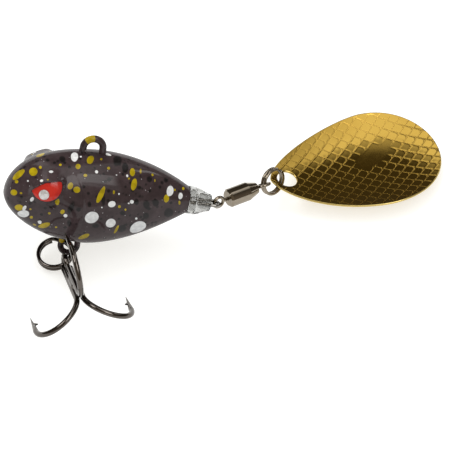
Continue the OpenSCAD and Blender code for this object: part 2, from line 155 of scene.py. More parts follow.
def gill(x, z):
    """How far the gill cover swells out: a slow ramp from the front that drops at its bowed edge."""
    s = x - (GILL_X - GILL_BEND * z * z)
    slope = np.where(s > 0, 1 - s / GILL_EDGE, 1 + s / GILL_RUN)
    ramp = np.where((s > GILL_EDGE) | (s < -GILL_RUN), 0, slope)
    return GILL_H * ramp * np.exp(-((z - GILL_Z) / GILL_SPREAD) ** 2)


def body_point(x, a):
    """The point of the body's skin at x and at angle a round it."""
    up, down = body_half(x, BACK_H, *BACK_CURVE), body_half(x, BELLY_H, *BELLY_CURVE)
    side = body_half(x, HALF_W, *SIDE_CURVE)
    c, s = power(np.cos(a)), power(np.sin(a))
    z = s * np.where(np.sin(a) > 0, up, down)
    cheek = CHEEK_H * np.exp(-((x - EYE_X) / CHEEK_REACH) ** 2)
    cheek = cheek * np.exp(-((z - CHEEK_Z) / CHEEK_SPREAD) ** 2)
    y = side * c + (cheek + gill(x, z)) * np.abs(c) ** 0.6 * np.sign(c)
    lift = AXIS_Z + TAIL_LIFT * aft(x) ** 1.5
    lean = z * math.tan(math.radians(TAIL_DROOP)) * aft(x) ** 3
    return np.stack([x + lean, y, lift + z], -1)


# Eye frames: left as in the source, right mirrored
EYE_INSET = 0.78
EYE_SEAT_Y = HALF_W * float(body_half(np.array(EYE_X), 1, *SIDE_CURVE)) * EYE_INSET + CHEEK_H
LEFT_EYE = move([EYE_X, -EYE_SEAT_Y, AXIS_Z + EYE_Z]) @ turn_z(-16) @ turn_x(66)
MIRROR = np.diag([1, -1, 1, 1.0])


def bow(h):
    """Radius of the arc that rises by h over the eye's length."""
    return ((EYE_L / 2) ** 2 + h * h) / (2 * h)


def eye_outline(n, grow):
    """Points of the leaf outline, in the eye's own plane."""
    r1, r2 = bow(EYE_BROW), bow(EYE_LOW)
    x = EYE_L / 2 * np.cos(np.linspace(0, math.pi, n // 2, endpoint=False))
    top = np.column_stack([x, EYE_BROW - r1 + np.sqrt(r1 * r1 - x * x)])
    low = np.column_stack([-x, r2 - EYE_LOW - np.sqrt(r2 * r2 - x * x)])
    p = np.concatenate([top, low])
    p = p * (1 + grow / (EYE_L / 2))
    t = math.radians(BROW_SLOPE)
    return p @ np.array([[math.cos(t), math.sin(t)], [-math.sin(t), math.cos(t)]])


def inside_eye(q):
    """How far inside the leaf outline a point of the eye's plane lies, in millimetres."""
    t = math.radians(-BROW_SLOPE)
    x = q[..., 0] * math.cos(t) - q[..., 1] * math.sin(t)
    y = q[..., 0] * math.sin(t) + q[..., 1] * math.cos(t)
    r1, r2 = bow(EYE_BROW), bow(EYE_LOW)
    d1 = r1 - np.hypot(x, y - EYE_BROW + r1)
    d2 = r2 - np.hypot(x, y + EYE_LOW - r2)
    return np.minimum(d1, d2)


# Small helpers for pieces
def new_piece(name, bm, body, replaces=()):
    """Make an object from a mesh, with its faces outward, and say which body it rides on."""
    mesh = bpy.data.meshes.new(name)
    bmesh.ops.recalc_face_normals(bm, faces=bm.faces)
    if bm.calc_volume(signed=True) < 0:
        bmesh.ops.reverse_faces(bm, faces=bm.faces)
    for f in bm.faces:
        f.smooth = True
    bm.to_mesh(mesh)
    bm.free()
    o = bpy.data.objects.new(name, mesh)
    bpy.context.scene.collection.objects.link(o)
    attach(o, body)
    if replaces:
        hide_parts(*replaces)
    return o


def add_values(o, name, values):
    layer = o.data.attributes.new(name, "FLOAT", "POINT")
    layer.data.foreach_set("value", np.asarray(values, np.float32))


def grid(columns, rows):
    """A sheet of columns by rows cells, and each vertex with its place along and across, 0 to 1."""
    bm = bmesh.new()
    bmesh.ops.create_grid(bm, x_segments=columns, y_segments=rows, size=1)
    return bm, [((v.co.x + 1) / 2, (v.co.y + 1) / 2, v) for v in bm.verts]


def tube(path, radius, sides, closed, side_axis=None):
    """A round wire along a path in millimetres; side_axis, if given, keeps its seam on one side."""
    n = len(path)
    tangent = np.roll(path, -1, 0) - np.roll(path, 1, 0) if closed else np.gradient(path, axis=0)
    tangent /= np.linalg.norm(tangent, axis=1)[:, None]
    up = np.zeros_like(path)
    ref = np.array(side_axis if side_axis is not None else (0.3, 0.2, 1.0), float)
    for i in range(n):
        u = ref - tangent[i] * (ref @ tangent[i])
        up[i] = u / np.linalg.norm(u)
        if side_axis is None:
            ref = up[i]
    across = np.cross(tangent, up)
    columns = n if closed else n - 1
    bm, cells = grid(columns, sides)
    for s, t, v in cells:
        i = int(round(s * columns)) % n
        a = 2 * math.pi * t
        r = radius[i] if np.ndim(radius) else radius
        p = path[i] + r * (math.cos(a) * across[i] + math.sin(a) * up[i])
        v.co = Vector(p * MM)
    bmesh.ops.remove_doubles(bm, verts=bm.verts, dist=1e-8)
    if not closed:
        bmesh.ops.holes_fill(bm, edges=[e for e in bm.edges if e.is_boundary], sides=0)
    return bm


# Materials
class Nodes:
    """A short way to write shader nodes, in a new material or in a tree that is there."""

    def __init__(self, name, tree=None):
        if tree is None:
            self.m = bpy.data.materials.new(name)
            self.m.use_nodes = True
            tree = self.m.node_tree
            self.p = tree.nodes["Principled BSDF"]
        self.t = tree

    def add(self, kind, **values):
        n = self.t.nodes.new(kind)
        for k, v in values.items():
            setattr(n, k, v)
        return n

    def link(self, a, b):
        self.t.links.new(a, b)

    def put(self, socket, v):
        if hasattr(v, "is_output"):
            self.link(v, socket)
        else:
            socket.default_value = v

    def math(self, op, a, b=0.0, c=None):
        n = self.add("ShaderNodeMath", operation=op)
        self.put(n.inputs[0], a)
        self.put(n.inputs[1], b)
        if c is not None:
            self.put(n.inputs[2], c)
        return n.outputs[0]

    def vmath(self, op, a, b):
        n = self.add("ShaderNodeVectorMath", operation=op)
        self.put(n.inputs[0], a)
        self.put(n.inputs[1], b)
        return n.outputs["Value"] if op in ("DOT_PRODUCT", "DISTANCE") else n.outputs["Vector"]

    def step(self, v, low, high, to_low=0.0, to_high=1.0):
        n = self.add("ShaderNodeMapRange", interpolation_type="SMOOTHSTEP")
        self.put(n.inputs["Value"], v)
        for key, x in (("From Min", low), ("From Max", high), ("To Min", to_low), ("To Max", to_high)):
            n.inputs[key].default_value = x
        return n.outputs[0]

    def mix(self, f, a, b):
        n = self.add("ShaderNodeMix", data_type="RGBA")
        self.put(n.inputs["Factor"], f)
        self.put(n.inputs["A"], a)
        self.put(n.inputs["B"], b)
        return n.outputs["Result"]

    def coords(self):
        return self.add("ShaderNodeTexCoord").outputs["Object"]

    def noise(self, scale, detail=3.0, rough=0.5):
        n = self.add("ShaderNodeTexNoise")
        self.link(self.coords(), n.inputs["Vector"])
        n.inputs["Scale"].default_value = scale
        n.inputs["Detail"].default_value = detail
        n.inputs["Roughness"].default_value = rough
        return n.outputs["Fac"]

    def cells(self, scale):
        n = self.add("ShaderNodeTexVoronoi")
        self.link(self.coords(), n.inputs["Vector"])
        n.inputs["Scale"].default_value = scale
        return n.outputs["Distance"], n.outputs["Color"]

    def value(self, name):
        return self.add("ShaderNodeAttribute", attribute_name=name).outputs["Fac"]

    def bump(self, height, strength, distance):
        n = self.add("ShaderNodeBump")
        self.link(height, n.inputs["Height"])
        n.inputs["Strength"].default_value = strength
        n.inputs["Distance"].default_value = distance
        return n.outputs["Normal"]

    def set(self, **values):
        for k, v in values.items():
            self.put(self.p.inputs[k.replace("_", " ")], v)


SOOT = (0.004, 0.003, 0.003, 1)
MUSTARD = (0.38, 0.26, 0.001, 1)
# The blade's plate turns satin, and lighter gold as a painted highlight, between these two groove values,
# by how much, and what the plain band adds
SATIN_LOW, SATIN_HIGH, SATIN_AND_SHEEN, BAND_SATIN_AND_SHEEN = 0.15, 0.85, 0.75, 0.18


def paint_ground(k):
    """Charcoal ground with soft cloudiness, soot flecks and fine pale specks."""
    cloud = k.noise(420, 4, 0.6)
    ground = k.mix(k.step(cloud, 0.35, 0.7), (0.034, 0.0205, 0.0215, 1), (0.056, 0.036, 0.038, 1))
    fleck_d, fleck_c = k.cells(1150)
    picked = k.step(fleck_c, 0.52, 0.56)
    fleck = k.math("MULTIPLY", k.step(fleck_d, 0.42, 0.22), picked)
    ground = k.mix(k.math("MULTIPLY", fleck, 0.85), ground, SOOT)
    speck_d, speck_c = k.cells(1700)
    chosen = k.step(speck_c, 0.725, 0.735)
    speck = k.math("MULTIPLY", k.step(speck_d, 0.17, 0.11), chosen)
    return k.mix(k.math("MULTIPLY", speck, 0.8), ground, (0.42, 0.40, 0.40, 1))


def clear_coat(k):
    k.set(Roughness=0.6, Specular_IOR_Level=0.1, Coat_Weight=0.4, Coat_Roughness=0.03, Coat_IOR=1.5)


def speckled_paint():
    k = Nodes("speckled_paint")
    col = paint_ground(k)
    soft = k.noise(900, 2)
    blot = k.math("ADD", k.value("dark"), k.math("MULTIPLY_ADD", soft, 0.3, -0.15))
    col = k.mix(k.step(blot, -0.14, 0.1, 0, 0.92), col, SOOT)
    edge = k.math("MULTIPLY_ADD", k.noise(1500, 2), 0.10, -0.05)
    gold = k.math("ADD", k.value("yellow"), edge)
    tone = k.mix(k.step(k.noise(700, 3), 0.35, 0.65), (0.32, 0.228, 0.000, 1), (0.47, 0.342, 0.001, 1))
    col = k.mix(k.step(gold, -0.035, 0.03), col, tone)
    pale = k.math("ADD", k.value("white"), k.math("MULTIPLY", edge, 0.6))
    milk = k.mix(k.step(k.noise(1400, 3), 0.35, 0.7), (0.70, 0.70, 0.69, 1), (0.90, 0.90, 0.88, 1))
    col = k.mix(k.step(pale, -0.035, 0.03), col, milk)
    k.link(col, k.p.inputs["Base Color"])
    clear_coat(k)
    ripple = k.bump(k.noise(260, 2), 0.25, 0.00006)
    k.link(ripple, k.p.inputs["Coat Normal"])
    return k.m


def wire_paint():
    k = Nodes("painted_wire")
    col = paint_ground(k)
    for centre, size in WIRE_SPOTS:
        rag = k.math("MULTIPLY_ADD", k.noise(1500, 2), 0.0004, -0.0002)
        d = k.math("ADD", k.vmath("DISTANCE", k.coords(), [c * MM for c in centre]), rag)
        col = k.mix(k.step(d, size * MM * 1.05, size * MM * 0.95), col, MUSTARD)
    k.link(col, k.p.inputs["Base Color"])
    clear_coat(k)
    return k.m


def eye_red(name, pose):
    k = Nodes(name)
    p = k.coords()
    centre = [float(c) * MM for c in place(pose, PUPIL)]
    u = k.vmath("DOT_PRODUCT", k.vmath("SUBTRACT", p, centre), [float(c) for c in pose[:3, 0]])
    v = k.vmath("DOT_PRODUCT", k.vmath("SUBTRACT", p, centre), [float(c) for c in pose[:3, 1]])
    d = k.math("SQRT", k.math("ADD", k.math("MULTIPLY", u, u), k.math("MULTIPLY", v, v)))
    rag = k.math("MULTIPLY_ADD", k.noise(1800, 2), 0.00012, -0.00006)
    d = k.math("ADD", d, rag)
    red = k.mix(k.step(k.noise(500, 3), 0.3, 0.7), (0.46, 0.014, 0.008, 1), (0.62, 0.026, 0.013, 1))
    # Painted shade: the red darkens away from the pupil towards the eye's edges, where the dome turns from
    # the light.
    painted_edge_shade = k.step(d, 0.0018, 0.0034)
    red = k.mix(k.math("MULTIPLY", painted_edge_shade, 0.5), red, (0.36, 0.012, 0.010, 1))
    iris = k.step(d, 0.00098, 0.00084)
    red = k.mix(k.math("MULTIPLY", iris, 0.55), red, (0.30, 0.012, 0.010, 1))
    milk = k.mix(k.step(k.noise(1600, 3), 0.38, 0.62), (0.50, 0.47, 0.44, 1), (0.80, 0.78, 0.76, 1))
    col = k.mix(k.step(d, 0.00086, 0.00079), red, milk)
    k.link(col, k.p.inputs["Base Color"])
    k.set(Roughness=0.5, Specular_IOR_Level=0.1, Coat_Weight=0.6, Coat_Roughness=0.03)
    return k.m


def plated(name, low, high, rough, marks):
    """Plated metal: faint cloudiness in colour, and drawing marks or polish in its roughness."""
    k = Nodes(name)
    cloud = k.noise(300, 4, 0.6)
    k.link(k.mix(k.step(cloud, 0.3, 0.7), low, high), k.p.inputs["Base Color"])
    fine = k.noise(marks, 5, 0.7)
    k.link(k.step(fine, 0.25, 0.75, rough * 0.7, rough * 1.4), k.p.inputs["Roughness"])
    k.link(k.bump(fine, 0.05, 0.00002), k.p.inputs["Normal"])
    k.set(Metallic=1.0)
    return k.m


def gold_plate():
    """Bright gold plate; the pressed lines are satin, so they catch light from all round, and they are
    also given a lighter gold colour, a painted highlight of that light.
    """
    k = Nodes("gold_plate")
    cloud = k.noise(160, 4, 0.6)
    gold = k.mix(k.step(cloud, 0.3, 0.7), (0.335, 0.214, 0.040, 1), (0.372, 0.241, 0.047, 1))
    # Along the pressed lines the plate is satin, which is real, and lighter gold, which is a painted
    # highlight.
    groove = k.math("MULTIPLY", k.step(k.value("groove"), SATIN_LOW, SATIN_HIGH), SATIN_AND_SHEEN)
    k.link(k.mix(groove, gold, (0.44, 0.275, 0.055, 1)), k.p.inputs["Base Color"])
    fine = k.step(k.noise(2600, 4, 0.7), 0.25, 0.75, 0.06, 0.11)
    k.link(k.math("MULTIPLY_ADD", groove, 0.5, fine), k.p.inputs["Roughness"])
    k.link(k.bump(k.noise(500, 3), 0.08, 0.00002), k.p.inputs["Normal"])
    k.set(Metallic=1.0)
    return k.m


def clear_plastic():
    k = Nodes("clear_sleeve")
    fine = k.noise(900, 4, 0.6)
    k.link(k.step(fine, 0.3, 0.7, 0.03, 0.10), k.p.inputs["Roughness"])
    k.link(k.bump(k.noise(620, 3), 0.45, 0.00012), k.p.inputs["Normal"])
    k.link(k.mix(fine, (0.42, 0.42, 0.41, 1), (0.62, 0.62, 0.61, 1)), k.p.inputs["Base Color"])
    k.set(Transmission_Weight=1.0, IOR=1.46)
    return k.m


# Paint droplets: place along the body and round it, half length, half width, slant
WHITE = [
    (-3.0, 98, 1.19, 0.58, 99), (-6.9, 123, 0.36, 0.25, 12), (0.4, 126, 0.27, 0.26, 126),
    (-8.3, 136, 0.3, 0.25, 11), (-9.6, 166, 0.5, 0.26, 122), (-10.5, 185, 0.56, 0.26, 109),
    (-10.5, 203, 1.2, 0.68, 127), (3.3, 168, 0.63, 0.53, 177), (0.3, 183, 1.13, 1.06, 143),
    (3.6, 191, 0.89, 0.81, 67), (-7.8, 204, 0.35, 0.27, 131), (-4.0, 183, 0.33, 0.32, 44),
    (4.3, 155, 0.17, 0.16, 30), (2.6, 90, 0.56, 0.36, 17), (8.5, 209, 1.5, 1.37, 77),
    (12.9, 140, 0.85, 0.64, 95), (14.8, 147, 0.52, 0.41, 90), (6.6, 165, 0.36, 0.3, 22),
    (5.5, 128, 0.23, 0.19, 98), (7.8, 188, 0.24, 0.19, 51), (6.1, 167, 0.17, 0.15, 43),
    (3.7, 129, 0.15, 0.11, 170), (1.7, 172, 0.15, 0.14, 29), (-10.4, 132, 0.18, 0.15, 21),
    (-7.7, 207, 0.27, 0.19, 132), (-2.0, 99, 0.21, 0.16, 107),
]
YELLOW = [
    (-11.7, 106, 1.25, 0.74, 173), (-9.6, 115, 0.85, 0.68, 68), (-8.5, 110, 0.33, 0.24, 85),
    (-5.4, 113, 0.23, 0.23, 93), (-2.6, 118, 0.47, 0.42, 108), (-0.5, 105, 0.98, 0.52, 111),
    (1.3, 103, 0.28, 0.19, 108), (2.4, 119, 0.28, 0.24, 124), (-3.8, 146, 0.58, 0.43, 116),
    (-2.7, 151, 0.56, 0.52, 11), (1.3, 157, 1.46, 0.44, 110), (-12.3, 156, 0.7, 0.48, 177),
    (-11.3, 157, 0.24, 0.16, 173), (-11.3, 190, 0.82, 0.54, 136), (-7.0, 210, 1.21, 0.53, 122),
    (-4.6, 179, 0.46, 0.35, 112), (-5.7, 166, 0.67, 0.36, 83), (-0.3, 216, 1.12, 0.52, 126),
    (4.8, 203, 0.94, 0.24, 106), (4.6, 171, 0.27, 0.23, 37), (-1.4, 132, 0.3, 0.26, 173),
    (6.4, 120, 0.71, 0.45, 97), (6.7, 140, 0.97, 0.49, 97), (12.4, 158, 0.66, 0.48, 82),
    (7.8, 114, 0.46, 0.16, 93), (5.7, 175, 0.23, 0.19, 52), (3.4, 153, 0.3, 0.17, 83),
    (14.8, 167, 0.36, 0.18, 74), (15.2, 118, 0.34, 0.23, 114), (9.8, 115, 0.27, 0.18, 104),
    (10.2, 126, 0.27, 0.13, 87), (-9.2, 201, 0.34, 0.25, 98), (-6.6, 183, 0.25, 0.24, 134),
    (-7.4, 136, 0.18, 0.15, 10), (-9.6, 183, 0.21, 0.16, 144), (-5.1, 205, 0.22, 0.19, 91),
    (-12.0, 126, 0.38, 0.29, 37), (5.8, 132, 0.18, 0.16, 156), (-8.4, 219, 0.3, 0.28, 135),
    (13.7, 134, 0.2, 0.16, 87),
]
DARK = [
    (1.8, 163, 1.02, 0.33, 83), (-3.3, 173, 1.05, 0.43, 105), (4.0, 101, 1.25, 0.66, 105),
    (9.1, 169, 0.81, 0.52, 74), (10.7, 167, 0.64, 0.51, 58), (13.3, 189, 1.05, 0.73, 58),
    (9.4, 186, 0.65, 0.48, 57), (1.2, 194, 0.59, 0.41, 9), (-5.0, 102, 0.71, 0.48, 97),
    (5.2, 114, 0.95, 0.52, 97), (9.3, 126, 0.52, 0.45, 111), (-2.1, 175, 0.37, 0.35, 46),
    (-7.3, 98, 0.4, 0.31, 75), (-3.2, 193, 0.62, 0.32, 77), (5.7, 203, 0.78, 0.64, 81),
    (7.4, 200, 0.59, 0.41, 38), (7.4, 165, 0.53, 0.34, 75), (2.5, 136, 0.34, 0.32, 163),
    (12.1, 116, 0.51, 0.36, 113), (5.3, 179, 0.45, 0.35, 24), (7.6, 144, 0.35, 0.24, 175),
    (-0.4, 169, 0.44, 0.24, 81),
]


def far_side(drops, seed):
    """The far flank is sprayed in the same way, with the droplets in other places."""
    rng = np.random.default_rng(seed)
    round_by, along_by = 16, 2.5
    made = []
    for x, a, long, wide, slant in drops:
        if 112 < a < 215:
            other = (180 - a) % 360 + rng.uniform(-round_by, round_by)
            moved = float(np.clip(x + rng.uniform(-along_by, along_by), -12, 15))
            made.append((moved, other, long, wide, 180 - slant))
    return made


def droplets(points, drops):
    """Signed distance from each point to the nearest droplet's edge, in millimetres, inside positive."""
    out = np.full(len(points), -1.0)
    e, reach = 1e-3, 1.6
    for x, a, long, wide, slant in drops:
        x0, a0 = np.array(float(x)), np.array(math.radians(a))
        c = body_point(x0, a0)
        ex = body_point(x0 + e, a0) - c
        ex /= np.linalg.norm(ex)
        n = np.cross(body_point(x0, a0 + e) - c, ex)
        n /= np.linalg.norm(n)
        ea = np.cross(ex, n)
        q = points - c
        near = np.abs(q).max(1) < long * 2 + 1
        u, v = q[near] @ ex, q[near] @ ea
        t = math.radians(slant)
        s, w = u * math.cos(t) + v * math.sin(t), -u * math.sin(t) + v * math.cos(t)
        d = (1 - np.hypot(s / long, w / wide)) * min(long, wide)
        d[np.abs(q[near] @ n) > reach] = -1
        out[near] = np.maximum(out[near], d)
    return out


# Brow and lid round each eye, and how far the skin is drawn under the eye and round it
BROW_LID, BROW_SPREAD, BROW_START = 0.80, 2.2, -0.25
LID_H, LID_OUT, LID_W = 0.10, 0.20, 0.24
EYE_UNDER, EYE_LAP, EYE_ROUND, EYE_DEEP = 0.25, 0.08, 2.6, 3
# The net's front half takes this share of the body's length, and its last rings close the tail face
FRONT_SHARE, TAIL_FACE = 0.47, 0.97


# Body shell: a sphere's net drawn out to the body's form, with eye sockets under a brow
def body_shell():
    columns, rings = 224, 236
    bm = bmesh.new()
    bmesh.ops.create_uvsphere(bm, u_segments=columns, v_segments=rings, radius=1)
    co = np.array([v.co for v in bm.verts])
    polar = np.arccos(np.clip(co[:, 2], -1, 1)) / math.pi
    front = FRONT_SHARE * (1 - np.cos(polar * math.pi))
    back = FRONT_SHARE + (1 - FRONT_SHARE) * (polar - 0.5) / (TAIL_FACE - 0.5)
    x = NOSE_X + (TAIL_X - NOSE_X) * np.where(polar < 0.5, front, back)
    end = polar > TAIL_FACE
    x = np.where(end, TAIL_X, np.minimum(x, TAIL_X))
    a = np.arctan2(co[:, 1], co[:, 0])
    p = body_point(x, a)
    centre = np.array([TAIL_X, 0, AXIS_Z + TAIL_LIFT])
    pull = np.clip((1 - polar) / (1 - TAIL_FACE), 0, 1)[:, None]
    p = np.where(end[:, None], centre + (p - centre) * pull, p)
    pole = polar < 1e-6
    p[pole] = [NOSE_X, 0, AXIS_Z]
    for side in (np.eye(4), MIRROR):
        pose = side @ LEFT_EYE
        q = (p - pose[:3, 3]) @ np.linalg.inv(pose[:3, :3]).T
        d = inside_eye(q)
        flat = np.radians(-BROW_SLOPE)
        along = q[:, 0] * np.cos(flat) - q[:, 1] * np.sin(flat)
        over = q[:, 0] * np.sin(flat) + q[:, 1] * np.cos(flat)
        over = over - EYE_BROW * (1 - (along / (EYE_L / 2)) ** 2)
        close = (np.abs(q[:, 2]) < EYE_DEEP) & (d > -EYE_ROUND)
        ball = bow(EYE_CROWN)
        dome = EYE_CROWN - ball + np.sqrt(np.maximum(0, ball ** 2 - (q[:, :2] ** 2).sum(1)))
        lid = LID_H * np.exp(-((d + LID_OUT) / LID_W) ** 2)
        fade = np.clip(1 - np.maximum(0, over) / BROW_SPREAD, 0, 1) ** 2
        brow = fade * (over > BROW_START) * np.exp(-(along / (EYE_L / 2)) ** 6)
        sunk = np.minimum(q[:, 2], dome - EYE_UNDER)
        raised = np.maximum(q[:, 2], (q[:, 2] + lid) * (1 - brow) + BROW_LID * brow)
        depth = np.where(d > EYE_LAP, sunk, raised)
        q[close, 2] = depth[close]
        p[close] = (q[close] @ pose[:3, :3].T) + pose[:3, 3]
    world = place(LURE, p) * MM
    for v, w in zip(bm.verts, world):
        v.co = Vector(w)
    o = new_piece("body_shell", bm, "lure", ["body_casting"])
    add_values(o, "white", droplets(p, WHITE + far_side(WHITE, 3)))
    add_values(o, "yellow", droplets(p, YELLOW + far_side(YELLOW, 5)))
    add_values(o, "dark", droplets(p, DARK + far_side(DARK, 7)))
    o.data.materials.append(speckled_paint())


# Eye rim: a thin roll of paint round each eye
def eye_rim(name, side):
    rim_r, grow, sunk = 0.15, 0.05, -0.06
    flat = eye_outline(160, grow)
    pose = LURE @ side @ LEFT_EYE
    path = place(pose, np.column_stack([flat, np.full(len(flat), sunk)]))
    bm = tube(path, rim_r, 12, True)
    o = new_piece(name, bm, "lure")
    o.data.materials.append(PAINTED_WIRE)


# Tail sleeve: a bell turned round the tail, slightly wrinkled where it shrank
def sleeve():
    bore_r, fold, crease = 1.3, 0.012, 0.008
    outer = [(0.03, 2.24), (0.25, 2.30), (0.8, 2.29), (1.5, 2.2), (2.1, 2.0), (2.6, 1.76),
             (3.1, 1.56), (3.5, 1.47), (3.74, 1.44), (3.79, 1.38)]
    inner = [(3.79, 1.16), (1.26, 1.16), (1.22, 1.77), (0.03, 1.77)]
    bm = bmesh.new()
    ring = [bm.verts.new((x, r, 0)) for x, r in outer + inner]
    edges = [bm.edges.new((ring[i], ring[(i + 1) % len(ring)])) for i in range(len(ring))]
    bmesh.ops.subdivide_edges(bm, edges=edges, cuts=3)
    bmesh.ops.spin(bm, geom=bm.verts[:] + bm.edges[:], cent=(0, 0, 0), axis=(1, 0, 0),
                   angle=2 * math.pi, steps=96, use_merge=True, use_duplicate=False)
    bmesh.ops.remove_doubles(bm, verts=bm.verts, dist=1e-5)
    for v in bm.verts:
        x, r, a = v.co.x, math.hypot(v.co.y, v.co.z), math.atan2(v.co.z, v.co.y)
        if r > bore_r:
            f = 1 + fold * math.sin(3 * a + x) * math.sin(x * 0.8) + crease * math.sin(7 * a + 2 * x)
            v.co.y *= f
            v.co.z *= f
        v.co = Vector(place(TAIL, v.co) * MM)
    o = new_piece("sleeve_shell", bm, "lure", ["tail_sleeve"])
    o.data.materials.append(clear_plastic())


# Split ring: two flat coils with one crank, as in the source, in smooth wire with flat ends
def coil(name, pose, r, d, start, body, replaced, material):
    a = np.linspace(0, COIL_SWEEP, 330)
    u = np.clip((a - 360 + CRANK_ARC) / CRANK_ARC, 0, 1)
    rise = (d + COIL_GAP) * (u * u * (3 - 2 * u) - 0.5)
    t = np.radians(a + start)
    path = place(pose, np.column_stack([r * np.cos(t), r * np.sin(t), rise]))
    bm = tube(path, d / 2, 20, False, pose[:3, 2])
    o = new_piece(name, bm, body, [replaced])
    o.data.materials.append(material)


# Blade: a dished egg of sheet with a pressed scale pattern and a plain band in its middle
HEEL_POWER, HEEL_ROOT, TIP_POWER = 1.6, 0.67, 2.05


def blade_half(x):
    """Half width of the blade's outline at x."""
    u = np.where(x < BLADE_BELLY, 1 - x / BLADE_BELLY, (x - BLADE_BELLY) / (BLADE_L - BLADE_BELLY))
    u = np.clip(u, 0, 1)
    heel, tip = (1 - u ** HEEL_POWER) ** HEEL_ROOT, np.sqrt(1 - u ** TIP_POWER)
    return BLADE_W / 2 * np.where(x < BLADE_BELLY, heel, tip)


SCALE, GROOVE_W, GROOVE_DEPTH, SLOPE_W, SLOPE_DEPTH = 1.5, 0.085, 0.018, 0.45, 0.003
ROW, CROSS = math.radians(-34), math.radians(40)
PLAIN_X, PLAIN_Y, PLAIN_TURN, PLAIN_L, PLAIN_W = 18.4, 2.1, math.radians(22.7), 3.4, 1.5


def scale_groove(x, y):
    """The pressed lines round each scale, 0 to 1, a net of two slants with one rounded corner a cell;
    their side slopes; and the plain band in the middle, which has none."""
    det = math.cos(ROW) * math.sin(CROSS) - math.sin(ROW) * math.cos(CROSS)
    s = (x * math.sin(CROSS) - y * math.cos(CROSS)) / det / SCALE
    w = (y * math.cos(ROW) - x * math.sin(ROW)) / det / SCALE
    p, q = s - np.floor(s), w - np.floor(w)
    turned = (p > 0.5) & (q > 0.5)
    straight = np.minimum(np.minimum(p, 1 - p), np.minimum(q, 1 - q))
    edge = np.where(turned, 0.5 - np.hypot(p - 0.5, q - 0.5), straight)
    edge = np.abs(edge) * SCALE * math.sin(CROSS - ROW)
    line = np.exp(-(edge / GROOVE_W) ** 2)
    step = np.clip(edge / SLOPE_W, 0, 1)
    bx, by = x - PLAIN_X, y - PLAIN_Y
    c, n = math.cos(PLAIN_TURN), math.sin(PLAIN_TURN)
    plain = ((bx * c + by * n) / PLAIN_L) ** 2 + ((by * c - bx * n) / PLAIN_W) ** 2
    keep = np.clip((plain - 0.7) / 0.8, 0, 1)
    rim = np.clip((blade_half(x) - np.abs(y) - 0.25) / 0.25, 0, 1)
    hole = np.clip((np.hypot(x - HOLE_X, y) - HOLE_D / 2 - 0.3) / 0.3, 0, 1)
    mask = keep * rim * hole
    return line * mask, (1 - step) * mask, 1 - keep


EDGE_R = 0.12
HOLE_CUT = HOLE_D / 2 + EDGE_R


def face_net(columns, rows, z):
    """One face of the blade, laid flat: a fine net inside its outline, with the hole snapped round."""
    bm, cells = grid(columns, rows)
    middle = BLADE_L / 2
    for s, t, v in cells:
        x = BLADE_L * (0.7 * s + 0.15 * (1 - math.cos(math.pi * s)))
        y = float(blade_half(np.array(x))) * (0.75 * (2 * t - 1) + 0.25 * math.sin(math.pi * (t - 0.5)))
        v.co = Vector((middle + (x - middle) * (1 - EDGE_R / middle), y * (1 - 2 * EDGE_R / BLADE_W), z))
    bmesh.ops.remove_doubles(bm, verts=bm.verts, dist=1e-4)
    inside = [v for v in bm.verts if math.hypot(v.co.x - HOLE_X, v.co.y) < HOLE_CUT + 0.02]
    bmesh.ops.delete(bm, geom=inside, context="VERTS")
    for v in bm.verts:
        r = math.hypot(v.co.x - HOLE_X, v.co.y)
        if v.is_boundary and r < HOLE_CUT + 0.6:
            f = HOLE_CUT / r
            v.co = Vector((HOLE_X + (v.co.x - HOLE_X) * f, v.co.y * f, z))
    return bm


def blade():
    inset = 0.01
    low, high = inset, BLADE_T - inset
    bm = bmesh.new()
    for columns, rows, z in ((330, 232, high), (150, 90, low)):
        net = face_net(columns, rows, z)
        flat = bpy.data.meshes.new("flat")
        net.to_mesh(flat)
        net.free()
        bm.from_mesh(flat)
        bpy.data.meshes.remove(flat)
    loose = [e for e in bm.edges if e.is_boundary]
    starts = [(e, e.verts[0].co) for e in loose]
    round_hole = [e for e, c in starts if math.hypot(c.x - HOLE_X, c.y) < HOLE_CUT + 0.2]
    outline = list(set(loose) - set(round_hole))
    for loops in (outline, round_hole):
        for f in bmesh.ops.bridge_loops(bm, edges=loops)["faces"]:
            f.material_index = 1
    across = [e for e in bm.edges if abs(e.verts[0].co.z - e.verts[1].co.z) > 0.1]
    bmesh.ops.subdivide_edges(bm, edges=across, cuts=3)
    bmesh.ops.recalc_face_normals(bm, faces=bm.faces)
    bm.normal_update()
    for v in bm.verts:
        t = (2 * v.co.z - low - high) / (high - low)
        out = Vector((v.normal.x, v.normal.y, 0))
        if abs(t) < 0.99 and out.length > 0.01:
            v.co += out.normalized() * EDGE_R * math.sqrt(1 - t * t)
    co = np.array([v.co for v in bm.verts])
    groove, slope, band = scale_groove(co[:, 0], co[:, 1])
    pressed = co[:, 2] > high - 1e-6
    z = dish_z(co[:, 0], co[:, 1]) + co[:, 2] - pressed * (GROOVE_DEPTH * groove + SLOPE_DEPTH * slope)
    # This value also lightens the gold along the lines and in the plain band: a painted highlight beside
    # the real satin.
    satin_and_sheen = np.maximum(groove, SATIN_LOW + BAND_SATIN_AND_SHEEN * band) * pressed
    layer = bm.verts.layers.float.new("groove")
    for v, h, g, c in zip(bm.verts, z, satin_and_sheen, co):
        v[layer] = g
        v.co = Vector(place(BLADE, (c[0], c[1], h)) * MM)
    o = new_piece("blade_plate", bm, "spinner", ["blade"])
    o.data.materials.append(GOLD)
    o.data.materials.append(GOLD_RIM_HIGHLIGHT)


